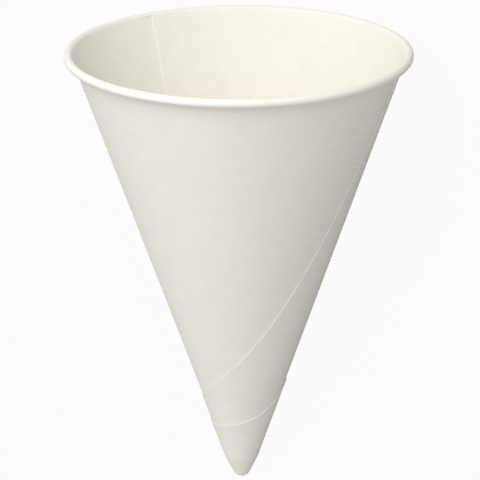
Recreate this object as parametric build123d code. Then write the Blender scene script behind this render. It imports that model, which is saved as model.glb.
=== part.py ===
from build123d import *
import os
from math import acos, asin, atan2, cos, degrees, hypot, radians, sin, tan

# A cone paper cup: one flat sheet wound into a cone, glued, its top edge rolled
# outward into a bead and its point crushed shut. It can't stand, so it is
# modelled as it lies, on its doubled and heavier side. Lengths are millimetres,
# angles degrees. The cup is drawn point down, with the point of its inside cone
# at the origin, and laid down at the end.

# The cup
RIM_DIAMETER = 73.0  # across the rolled rim
HALF_ANGLE = 19.63  # between the wall and the axis
PAPER = 0.2  # thickness of the sheet

# The rolled rim
BEAD_DIAMETER = 1.87  # outside of the roll
CURL_GAP = 0.1  # from the roll's free edge to the single wall

# The sheet, as it was cut flat and wound
RIM_OVERLAP = 138.0  # turn by which the sheet laps itself at the rim
SIDE_REACH = 21.3  # from the cone's point to the straight outer cut edge
END_REACH = 17.5  # from the cone's point to the cut edge square to that one
RAMP = 9.0  # turn over which the sheet climbs over its own inner edge

# The crushed point
TIP_HEIGHT = 3.4  # from the point of the inside cone up to the real tip
NOSE_RADIUS = 1.9
NOSE_HALF_ANGLE = 27.0
CRUSHED_LENGTH = 3.0  # from the tip up to where the inside opens

RESTING_FLAT = 0.12  # how deep the rim and the point are pressed flat where the cup rests

FULL_TURN = 360.0
SIN, COS, TAN = (f(radians(HALF_ANGLE)) for f in (sin, cos, tan))
FLAT = SIN  # a turn about the axis is this much smaller in the flat sheet

# The bead's circle touches the inside face of the wall from outside.
bead_radius = BEAD_DIAMETER / 2
bead_x = RIM_DIAMETER / 2 - bead_radius
bead_z = (bead_x * COS - bead_radius) / SIN
rim_slant = bead_x * SIN + bead_z * COS

# Turns of the outer edge, counted from the sheet's inner edge
rim_turn = FULL_TURN + RIM_OVERLAP
side_foot = rim_turn + degrees(acos(SIDE_REACH / rim_slant)) / FLAT
end_foot = side_foot + 90 / FLAT
corner_slant = hypot(SIDE_REACH, END_REACH)
wall_low = TIP_HEIGHT - NOSE_RADIUS / 2  # the layers start below the crushed point, which is cut after

# What cuts the layers to shape
THICKEST = 3 * PAPER  # the wall where it has the most layers
FENCE = 5 * PAPER  # how far a fence stands out on each side of the wall
FENCE_STEP = 8.0  # turn between the points of a fence
FEWEST_STEPS = 4
PAST = 3.0  # how far cutters reach past what they cut
PAST_TURN = 1.0  # and the turn by which they do
RIM_LEAD = 4.0  # turn by which the lap's cutter starts before the edge meets the rim

RAMP_STEPS = 6
FOOT_LAYERS = (0.25, 2.5)  # from where to where the bead's foot reaches, in sheets of paper


def on_wall(turn, slant, offset):
    """The point at a turn and a slant distance, offset outward from the inside face."""
    radius = slant * SIN + offset * COS
    return Vector(
        radius * cos(radians(turn)), radius * sin(radians(turn)), slant * COS - offset * SIN
    )


def climb(turn):
    """Height the sheet has climbed, from 0 to 1, over the ramp before a full turn."""
    share = max(0.0, 1 - (FULL_TURN - turn) / RAMP)
    return share * share * (3 - 2 * share)


def turn_outline(z, layer):
    """One level turn of a face of the sheet, closed by the step at its inner edge."""

    def at(turn, climbed):
        radius = z * TAN + (layer + climbed) * PAPER / COS
        return Vector(radius * cos(radians(turn)), radius * sin(radians(turn)), z)

    start = FULL_TURN - RAMP
    middle = start / 2
    ramp_turns = [start + RAMP * i / RAMP_STEPS for i in range(RAMP_STEPS + 1)]
    ramp = [at(turn, climb(turn)) for turn in ramp_turns]
    round_part = ThreePointArc(at(0, 0), at(middle, 0), at(start, 0))
    lead_in = Vector(-sin(radians(start)), cos(radians(start)), 0)
    climbing = Spline(*ramp, tangents=[lead_in, Vector(0, 1, 0)])
    return Wire([round_part.edge(), climbing.edge(), Line(ramp[-1], at(0, 0)).edge()])


def cone_inside(layer, low, high):
    """Everything within the inside face of a layer, between two heights."""
    return Solid.make_loft([turn_outline(low, layer), turn_outline(high, layer)], ruled=True)


def cut_slant(turn, reach, foot):
    """Slant distance of a straight cut edge of the flat sheet at a turn."""
    return reach / cos(radians((turn - foot) * FLAT))


def fence(reach, foot, first, last):
    """A strip square to the wall along a straight cut edge of the sheet."""
    count = max(FEWEST_STEPS, round((last - first) / FENCE_STEP))
    turns = [first + (last - first) * i / count for i in range(count + 1)]
    shares = [i / count for i in range(count + 1)]
    sides = []
    for offset in (-FENCE, FENCE + THICKEST):
        points = [on_wall(turn, cut_slant(turn, reach, foot), offset) for turn in turns]
        sides.append(Edge.make_spline(points, parameters=shares))
    return Face.make_surface_from_curves(*sides)


def sector(first, last, low, high):
    """A block around the wall, half as deep as the fences, between two turns and two slants."""
    inner, outer = -FENCE / 2, FENCE / 2 + THICKEST
    corners = [
        on_wall(first, slant, offset)
        for slant, offset in ((low, inner), (high, inner), (high, outer), (low, outer))
    ]
    return Solid.revolve(Face(Wire.make_polygon(corners)), last - first, Axis.Z)


def above_edge(reach, foot, first, last, high):
    """What lies above a straight cut edge, between two turns, to cut it away."""
    block = sector(first, last, reach / 2, high)
    cut = fence(reach, foot, first - PAST_TURN, last + PAST_TURN)
    parts = block.split(cut, keep=Keep.ALL)
    return max(parts.solids(), key=lambda part: part.center().Z)


def second_layer():
    """The lap: from the ramp over the inner edge to the slanting outer cut edge."""
    ring = cone_inside(2, wall_low, bead_z) - cone_inside(1, wall_low, bead_z)
    top = rim_slant + PAST
    return ring - above_edge(SIDE_REACH, side_foot, rim_turn - RIM_LEAD, 2 * FULL_TURN, top)


def third_layer():
    """The sheet's square corner, wound on once more around the point of the cone."""
    high = corner_slant + PAST
    ring = cone_inside(3, wall_low, high * COS) - cone_inside(2, wall_low, high * COS)
    top = high + PAST
    side_turn, end_turn = (degrees(acos(reach / top)) / FLAT for reach in (SIDE_REACH, END_REACH))
    ring -= above_edge(SIDE_REACH, side_foot, 2 * FULL_TURN, side_foot + side_turn, top)
    ring -= above_edge(END_REACH, end_foot, end_foot - end_turn, 3 * FULL_TURN, top)
    return ring - sector(3 * FULL_TURN - RAMP - PAST_TURN, 3 * FULL_TURN, wall_low, top)


def bead():
    """The rolled rim: the top of the wall curls outward, down and nearly back to the wall."""
    centre = Vector(bead_x, 0, bead_z)
    left_open = degrees(acos((bead_radius - PAPER - CURL_GAP) / bead_radius))
    start = 180 - HALF_ANGLE
    sweep = 360 - left_open

    def at(radius, turned):
        angle = radians(start - turned)
        return centre + Vector(radius * cos(angle), 0, radius * sin(angle))

    inner = bead_radius - PAPER
    # The foot starts a hair outside the inside face and covers every turn of the layers.
    foot_in, foot_out = (
        Vector(bead_z * TAN + layers * PAPER / COS, 0, bead_z) for layers in FOOT_LAYERS
    )
    outline = [
        Line(foot_in, at(bead_radius, 0)),
        ThreePointArc(at(bead_radius, 0), at(bead_radius, sweep / 2), at(bead_radius, sweep)),
        Line(at(bead_radius, sweep), at(inner, sweep)),
        ThreePointArc(at(inner, sweep), at(inner, sweep / 2), at(inner, 0)),
        Line(at(inner, 0), foot_out),
        Line(foot_out, foot_in),
    ]
    return Solid.revolve(Face(Wire([line.edge() for line in outline])), FULL_TURN, Axis.Z)


def nose():
    """All that lies above the crushed point: a small ball that opens into a blunt cone."""
    centre = TIP_HEIGHT + NOSE_RADIUS
    lean = radians(NOSE_HALF_ANGLE)
    top = bead_z + RIM_DIAMETER
    side = Vector(NOSE_RADIUS * cos(lean), 0, centre - NOSE_RADIUS * sin(lean))
    low_side = Vector(NOSE_RADIUS * sin(lean / 2), 0, centre - NOSE_RADIUS * cos(lean / 2))
    tip, end = Vector(0, 0, TIP_HEIGHT), Vector(side.X + (top - side.Z) * tan(lean), 0, top)
    outline = [
        ThreePointArc(tip, low_side, side),
        Line(side, end),
        Line(end, Vector(0, 0, top)),
        Line(Vector(0, 0, top), tip),
    ]
    return Solid.revolve(Face(Wire([line.edge() for line in outline])), FULL_TURN, Axis.Z)


def wound_cup():
    """The cup point down, with its sheet wound the way a clock's hands turn, seen from the mouth."""
    layers = cone_inside(1, wall_low, bead_z) + second_layer() + third_layer()
    hollow = cone_inside(0, TIP_HEIGHT + CRUSHED_LENGTH, bead_z + PAST)
    return ((layers & nose()) - hollow + bead()).mirror(Plane.XZ)


def lean_when_lying():
    """Angle between the axis and the floor, when the rim and the shoulder of the point touch it."""
    nose_point = TIP_HEIGHT + NOSE_RADIUS - NOSE_RADIUS / sin(radians(NOSE_HALF_ANGLE))
    nose_tan = tan(radians(NOSE_HALF_ANGLE))
    shoulder_z = (THICKEST / COS + nose_point * nose_tan) / (nose_tan - TAN)
    shoulder_x = (shoulder_z - nose_point) * nose_tan
    across, along = bead_x - shoulder_x, bead_z - shoulder_z
    return degrees(atan2(across, along) + asin(bead_radius / hypot(across, along)))


def lying(cup):
    """The cup on its heavier side, pressed flat where it rests, mouth toward +Y, its box centred."""
    heavy = cup.center(CenterOf.MASS)
    cup = cup.rotate(Axis.Z, 90 - degrees(atan2(heavy.Y, heavy.X)))
    cup = cup.rotate(Axis.X, lean_when_lying() - 90)
    cup = cup.translate(Vector(0, 0, -cup.bounding_box().min.Z - RESTING_FLAT))
    cup = cup.split(Plane.XY, keep=Keep.TOP)
    middle = cup.bounding_box().center()
    return cup.translate(Vector(-middle.X, -middle.Y, 0))


os.makedirs("parts", exist_ok=True)
cup = lying(wound_cup())
cup.label = "wound_paper_cup"
export_step(cup, "parts/wound_paper_cup.step")
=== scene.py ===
from math import acos, cos, degrees, exp, hypot, radians, sin, tan

import bpy
from mathutils import Matrix, Vector

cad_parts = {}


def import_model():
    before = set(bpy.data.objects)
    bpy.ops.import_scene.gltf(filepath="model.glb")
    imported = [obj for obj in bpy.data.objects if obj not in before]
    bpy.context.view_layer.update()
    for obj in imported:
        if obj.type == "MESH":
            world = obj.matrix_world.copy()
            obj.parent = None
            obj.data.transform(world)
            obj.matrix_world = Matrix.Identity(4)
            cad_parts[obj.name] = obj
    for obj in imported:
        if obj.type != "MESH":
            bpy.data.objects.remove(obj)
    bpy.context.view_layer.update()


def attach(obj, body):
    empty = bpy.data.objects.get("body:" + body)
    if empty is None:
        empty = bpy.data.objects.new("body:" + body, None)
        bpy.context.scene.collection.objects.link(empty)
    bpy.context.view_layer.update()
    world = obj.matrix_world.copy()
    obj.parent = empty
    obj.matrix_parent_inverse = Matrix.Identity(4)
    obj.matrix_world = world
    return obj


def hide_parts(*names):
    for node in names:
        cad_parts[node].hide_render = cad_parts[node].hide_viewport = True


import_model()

# A cone paper cup as it lies: one sheet wound into a cone, with a slanting lap, a rolled
# rim and a crushed point. It is worked out point down, in millimetres and degrees, with
# the point of its inside cone at the origin, and then laid down in metres.

MM = 0.001
FULL_TURN = 360.0

# The cup, as its CAD part has it
RIM_DIAMETER, HALF_ANGLE, PAPER = 73.0, 19.63, 0.2
BEAD_RADIUS = 0.935
RIM_OVERLAP, SIDE_REACH, END_REACH, RAMP = 138.0, 21.3, 17.5, 9.0
TIP_HEIGHT, NOSE_RADIUS, NOSE_HALF_ANGLE = 3.4, 1.9, 27.0
MOST_LAYERS = 3
CURL_SWEEP = 312.0

# How it lies: turned about its axis, leant, and moved so that it rests on the floor
LYING_TURN, LYING_LEAN = 167.526, 20.3987
CONE_POINT = Vector((0.0, -53.625, 0.3648))

# The view: the turn that faces the camera, and the camera's place about the cup
FRONT_TURN = 212.0
CAMERA_DISTANCE, CAMERA_HEIGHT = 1095.0, 53.64
ELEVATION, DOWN_TILT, ROLL = 18.24, 18.075, -0.397
LENS, SENSOR_WIDTH = 388.7, 36.0
CLIP_START, CLIP_END = 0.01, 20.0

# Worked out from the cup's sizes. Turns count from the sheet's inner edge.
SIN, COS, TAN = (f(radians(HALF_ANGLE)) for f in (sin, cos, tan))
BEAD_X = RIM_DIAMETER / 2 - BEAD_RADIUS
BEAD_Z = (BEAD_X * COS - BEAD_RADIUS) / SIN
RIM_SLANT = BEAD_X * SIN + BEAD_Z * COS
RIM_TURN = FULL_TURN + RIM_OVERLAP
SIDE_FOOT = RIM_TURN + degrees(acos(SIDE_REACH / RIM_SLANT)) / SIN
END_FOOT = SIDE_FOOT + 90 / SIN
CORNER_TURN = SIDE_FOOT + degrees(acos(SIDE_REACH / hypot(SIDE_REACH, END_REACH))) / SIN

# Mesh steps: the columns are closer over the ramps, the rows at the tip and the top edge
TURN_STEP, RAMP_STEP = 2.0, 1.0
WALL_ROWS, TIP_ROWS, CURL_ROWS = 48, 26, 26
TOP_CROWDING, TIP_CROWDING = 1.3, 1.7
LAST_TURN = 3 * FULL_TURN - RAMP - RAMP_STEP
LOW_SLANT = (TIP_HEIGHT + 0.02) / COS  # a hair above the tip, where the sheet's width is nil
TIP_TOP = LOW_SLANT + 5.0
SHARP_ANGLE = 35

# The small faults of a real cup. Waves are (waves a turn, height, phase).
EDGE_LIFT, EDGE_LIFT_WIDTH = 0.05, 1.0
AIR = 0.006
WALL_WAVES = ((2, 0.16, 0.7), (3, 0.06, 2.1))
ROLL_WAVES = ((5, 0.018, 1.0), (11, 0.012, 0.0), (23, 0.010, 0.4))
ROLL_SHIFT = 0.4  # share of the climb at the ramp that the roll moves out by
TIP_OVAL, TIP_OVAL_FADE, TIP_OVAL_TURN = 0.05, 2.5, 40.0

# Paper: two close tones in a fine mottle, short fibres, and a soft unevenness
DARK_TONE, LIGHT_TONE = (0.865, 0.835, 0.765, 1), (0.895, 0.868, 0.802, 1)
PAPER_ROUGHNESS, PAPER_SPECULAR = 0.78, 0.25
MOTTLE = {"Scale": 260, "Detail": 6, "Roughness": 0.65}
FIBRES = {"Scale": 1400, "Detail": 5, "Roughness": 0.6}
UNEVENNESS = {"Scale": 120, "Detail": 3, "Roughness": 0.5}

# Studio, in metres
FLOOR_REACH, FLOOR_GREY, FLOOR_ROUGHNESS = 6, (0.4, 0.4, 0.4, 1), 0.9
FLOOR_GLOW = 0.96  # share of the floor's seen colour that is plain white
WORLD_LIGHT, WORLD_SEEN = 0.74, 1.0
LIGHT_AIM = Vector((0, 0.02, 0.035))


def lying():
    """From the cup point down to where it lies, in metres."""
    turn = Matrix.Rotation(radians(LYING_TURN), 4, "Z")
    lean = Matrix.Rotation(radians(LYING_LEAN - 90), 4, "X")
    return Matrix.Scale(MM, 4) @ Matrix.Translation(CONE_POINT) @ lean @ turn


def layer_height(turn):
    """How many sheets lie under this turn of the sheet, with the climb before each full turn."""
    layers = int(turn // FULL_TURN)
    share = max(0.0, 1 - ((layers + 1) * FULL_TURN - turn) / RAMP)
    return layers + share * share * (3 - 2 * share)


def top_slant(turn):
    """Where the sheet ends above: the rim, then its two straight cut edges."""
    if turn <= RIM_TURN:
        return RIM_SLANT
    if turn <= CORNER_TURN:
        return min(RIM_SLANT, SIDE_REACH / cos(radians((turn - SIDE_FOOT) * SIN)))
    return END_REACH / cos(radians((turn - END_FOOT) * SIN))


def nose_width(z):
    """Radius of the crushed point at a height: a small ball that opens into a blunt cone."""
    lean = radians(NOSE_HALF_ANGLE)
    centre = TIP_HEIGHT + NOSE_RADIUS
    side_z = centre - NOSE_RADIUS * sin(lean)
    if z <= TIP_HEIGHT:
        return 0.0
    if z < side_z:
        return (NOSE_RADIUS ** 2 - (centre - z) ** 2) ** 0.5
    return NOSE_RADIUS * cos(lean) + (z - side_z) * tan(lean)


def wall_wave(turn, z):
    """A real cup's rim isn't quite round, and its wall is a little soft."""
    around = radians(turn)
    share = (z / BEAD_Z) ** 2
    return share * sum(height * cos(count * around + phase) for count, height, phase in WALL_WAVES)


def placed(turn, radius, z):
    """A point of the cup, squeezed within the crushed point, which is slightly oval."""
    envelope = z * TAN + MOST_LAYERS * PAPER / COS
    squeeze = min(1.0, nose_width(z) / envelope)
    fade = exp(-max(0.0, z - TIP_HEIGHT) / TIP_OVAL_FADE)
    oval = 1 + TIP_OVAL * fade * cos(radians(2 * turn + TIP_OVAL_TURN))
    radius = radius * squeeze * oval + wall_wave(turn, z)
    return Vector((radius * cos(radians(-turn)), radius * sin(radians(-turn)), z))


def wall_point(turn, slant, face):
    """A point of the sheet's inner face (0) or outer face (1)."""
    offset = layer_height(turn) * (PAPER + AIR) + face * PAPER
    if turn > RIM_TURN:
        offset += EDGE_LIFT * exp((slant - top_slant(turn)) / EDGE_LIFT_WIDTH)
    return placed(turn, slant * SIN + offset * COS, slant * COS - offset * SIN)


def curl_point(turn, share, face):
    """A point of the rolled rim, from the top of the wall outward and down."""
    around = radians(turn)
    swell = sum(height * sin(count * around + phase) for count, height, phase in ROLL_WAVES)
    radius = BEAD_RADIUS * (1 - swell * share) - face * PAPER
    angle = radians(180 - HALF_ANGLE - CURL_SWEEP * share)
    lift = layer_height(turn) * PAPER if turn < FULL_TURN else 0.0
    centre_x = BEAD_X + lift * COS * ROLL_SHIFT
    return placed(turn, centre_x + radius * cos(angle), BEAD_Z + radius * sin(angle))


def turns():
    """Columns of the sheet: even steps, closer over the ramps, and at its outline's corners."""
    steps = [i * TURN_STEP for i in range(int(LAST_TURN / TURN_STEP) + 1)]
    for full in (FULL_TURN, 2 * FULL_TURN):
        steps += [full - i * RAMP_STEP for i in range(int(RAMP / RAMP_STEP) + 1)]
    return sorted(set(steps + [RIM_TURN, CORNER_TURN, LAST_TURN]))


def sheet_point(turn, row, face):
    """The point of a column at a row: tip rows, then wall rows, then the rolled rim's."""
    if row <= TIP_ROWS:
        slant = LOW_SLANT + (TIP_TOP - LOW_SLANT) * (row / TIP_ROWS) ** TIP_CROWDING
        return wall_point(turn, slant, face)
    if row <= TIP_ROWS + WALL_ROWS:
        left = 1 - (row - TIP_ROWS) / WALL_ROWS
        slant = top_slant(turn) - (top_slant(turn) - TIP_TOP) * left ** TOP_CROWDING
        return wall_point(turn, slant, face)
    return curl_point(turn, (row - TIP_ROWS - WALL_ROWS) / CURL_ROWS, face)


def sheet():
    """The wound sheet as one closed strip of paper, with its cut edges and rolled rim."""
    columns = turns()
    points, index = [], {}

    def corner(column, row, face):
        key = (column, row, face)
        if key not in index:
            index[key] = len(points)
            points.append(sheet_point(columns[column], row, face))
        return index[key]

    faces, edges = [], set()
    for i, next_turn in enumerate(columns[1:]):
        curl_rows = CURL_ROWS if next_turn <= FULL_TURN else 0
        for row in range(TIP_ROWS + WALL_ROWS + curl_rows):
            ring = [(i, row), (i + 1, row), (i + 1, row + 1), (i, row + 1)]
            faces.append([corner(*place, 1) for place in reversed(ring)])
            faces.append([corner(*place, 0) for place in ring])
            edges.update(zip(ring, ring[1:] + ring[:1]))
    for a, b in sorted(edges):
        if (b, a) not in edges:
            faces.append([corner(*a, 1), corner(*b, 1), corner(*b, 0), corner(*a, 0)])

    to_floor = lying()
    laid = [to_floor @ point for point in points]
    for point in laid:
        point.z = max(point.z, 0.0)  # pressed flat where it rests
    mesh = bpy.data.meshes.new("paper_cup")
    mesh.from_pydata(laid, [], faces)
    mesh.validate()
    for polygon in mesh.polygons:
        polygon.use_smooth = True
    mesh.set_sharp_from_angle(angle=radians(SHARP_ANGLE))
    piece = bpy.data.objects.new("paper_cup", mesh)
    bpy.context.scene.collection.objects.link(piece)
    return piece


def paper():
    """Matt white cup stock: warm, faintly mottled, with short fibres in its surface."""
    material = bpy.data.materials.new("cup_paper")
    material.use_nodes = True
    nodes, links = material.node_tree.nodes, material.node_tree.links
    shader = nodes["Principled BSDF"]
    shader.inputs["Roughness"].default_value = PAPER_ROUGHNESS
    shader.inputs["Specular IOR Level"].default_value = PAPER_SPECULAR
    place = nodes.new("ShaderNodeTexCoord")

    def noise(settings):
        node = nodes.new("ShaderNodeTexNoise")
        for name, value in settings.items():
            node.inputs[name].default_value = value
        links.new(place.outputs["Object"], node.inputs["Vector"])
        return node.outputs["Fac"]

    def bump(settings, strength, distance):
        node = nodes.new("ShaderNodeBump")
        node.inputs["Strength"].default_value = strength
        node.inputs["Distance"].default_value = distance
        links.new(noise(settings), node.inputs["Height"])
        return node

    ramp = nodes.new("ShaderNodeValToRGB")
    for element, position, tone in zip(ramp.color_ramp.elements, (0.3, 0.7), (DARK_TONE, LIGHT_TONE)):
        element.position, element.color = position, tone
    links.new(noise(MOTTLE), ramp.inputs["Fac"])
    links.new(ramp.outputs["Color"], shader.inputs["Base Color"])
    fibres = bump(FIBRES, strength=0.10, distance=0.0004)
    uneven = bump(UNEVENNESS, strength=0.12, distance=0.0012)
    links.new(fibres.outputs["Normal"], uneven.inputs["Normal"])
    links.new(uneven.outputs["Normal"], shader.inputs["Normal"])
    return material


def view_axes():
    """The camera's place, right, up and forward, about the lying cup."""
    turn = Matrix.Rotation(radians(LYING_TURN - FRONT_TURN + 90), 4, "Z")
    lean = Matrix.Rotation(radians(LYING_LEAN - 90), 4, "X")
    to_row = Matrix.Translation(CONE_POINT) @ lean @ turn
    lift, tilt, roll = radians(ELEVATION), radians(DOWN_TILT), radians(ROLL)
    # CAMERA_HEIGHT counts from the point of the cone's outside.
    height = CAMERA_HEIGHT + sin(lift) * CAMERA_DISTANCE - PAPER / SIN
    place = Vector((0, -cos(lift) * CAMERA_DISTANCE, height))
    forward, right = Vector((0, cos(tilt), -sin(tilt))), Vector((1, 0, 0))
    up = right.cross(forward)
    rolled_right = right * cos(roll) + up * sin(roll)
    rolled_up = up * cos(roll) - right * sin(roll)
    rotate = to_row.to_3x3()
    return (to_row @ place) * MM, rotate @ rolled_right, rotate @ rolled_up, rotate @ forward


def camera():
    place, right, up, forward = view_axes()
    data = bpy.data.cameras.new("view")
    data.lens, data.sensor_width = LENS, SENSOR_WIDTH
    data.clip_start, data.clip_end = CLIP_START, CLIP_END
    obj = bpy.data.objects.new("view", data)
    axes = Matrix((right, up, -forward)).transposed()
    obj.matrix_world = Matrix.Translation(place) @ axes.to_4x4()
    bpy.context.scene.collection.objects.link(obj)
    bpy.context.scene.camera = obj


def softbox(name, direction, distance, size, power):
    """A round lamp, in a direction given as the view's right, up and toward the camera."""
    _, right, up, forward = view_axes()
    toward = right * direction[0] + up * direction[1] - forward * direction[2]
    place = LIGHT_AIM + toward.normalized() * distance
    data = bpy.data.lights.new(name, "AREA")
    data.shape, data.size, data.energy = "DISK", size, power
    obj = bpy.data.objects.new(name, data)
    obj.location = place
    obj.rotation_euler = (LIGHT_AIM - place).to_track_quat("-Z", "Y").to_euler()
    bpy.context.scene.collection.objects.link(obj)


def floor():
    """A floor that the camera sees as nearly white, and that lights the cup as a pale grey."""
    reach = FLOOR_REACH
    corners = [(-reach, -reach, 0), (reach, -reach, 0), (reach, reach, 0), (-reach, reach, 0)]
    mesh = bpy.data.meshes.new("floor")
    mesh.from_pydata(corners, [], [(0, 1, 2, 3)])
    obj = bpy.data.objects.new("floor", mesh)
    bpy.context.scene.collection.objects.link(obj)
    material = bpy.data.materials.new("floor_white")
    material.use_nodes = True
    nodes, links = material.node_tree.nodes, material.node_tree.links
    shader = nodes["Principled BSDF"]
    shader.inputs["Base Color"].default_value = FLOOR_GREY
    shader.inputs["Roughness"].default_value = FLOOR_ROUGHNESS
    glow, path = nodes.new("ShaderNodeEmission"), nodes.new("ShaderNodeLightPath")
    seen, mix = nodes.new("ShaderNodeMath"), nodes.new("ShaderNodeMixShader")
    seen.operation = "MULTIPLY"
    seen.inputs[1].default_value = FLOOR_GLOW
    links.new(path.outputs["Is Camera Ray"], seen.inputs[0])
    links.new(seen.outputs[0], mix.inputs["Fac"])
    links.new(shader.outputs[0], mix.inputs[1])
    links.new(glow.outputs[0], mix.inputs[2])
    links.new(mix.outputs[0], nodes["Material Output"].inputs["Surface"])
    mesh.materials.append(material)


def world():
    """A plain white surround, seen as white and a little dimmer as a light."""
    scene = bpy.context.scene
    scene.world = scene.world or bpy.data.worlds.new("studio")
    scene.world.use_nodes = True
    nodes, links = scene.world.node_tree.nodes, scene.world.node_tree.links
    back = nodes["Background"]
    path, strength = nodes.new("ShaderNodeLightPath"), nodes.new("ShaderNodeMapRange")
    strength.inputs["To Min"].default_value = WORLD_LIGHT
    strength.inputs["To Max"].default_value = WORLD_SEEN
    links.new(path.outputs["Is Camera Ray"], strength.inputs["Value"])
    links.new(strength.outputs["Result"], back.inputs["Strength"])
    back.inputs["Color"].default_value = (1, 1, 1, 1)
    scene.view_settings.view_transform = "Standard"


cup = sheet()
cup.data.materials.append(paper())
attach(cup, "root")
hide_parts("wound_paper_cup")
floor()
world()
camera()
softbox("key", (-0.5, 0.55, 0.9), 0.40, 0.3, 0.72)
softbox("front", (-0.1, 0.3, 1.0), 0.45, 0.3, 0.22)
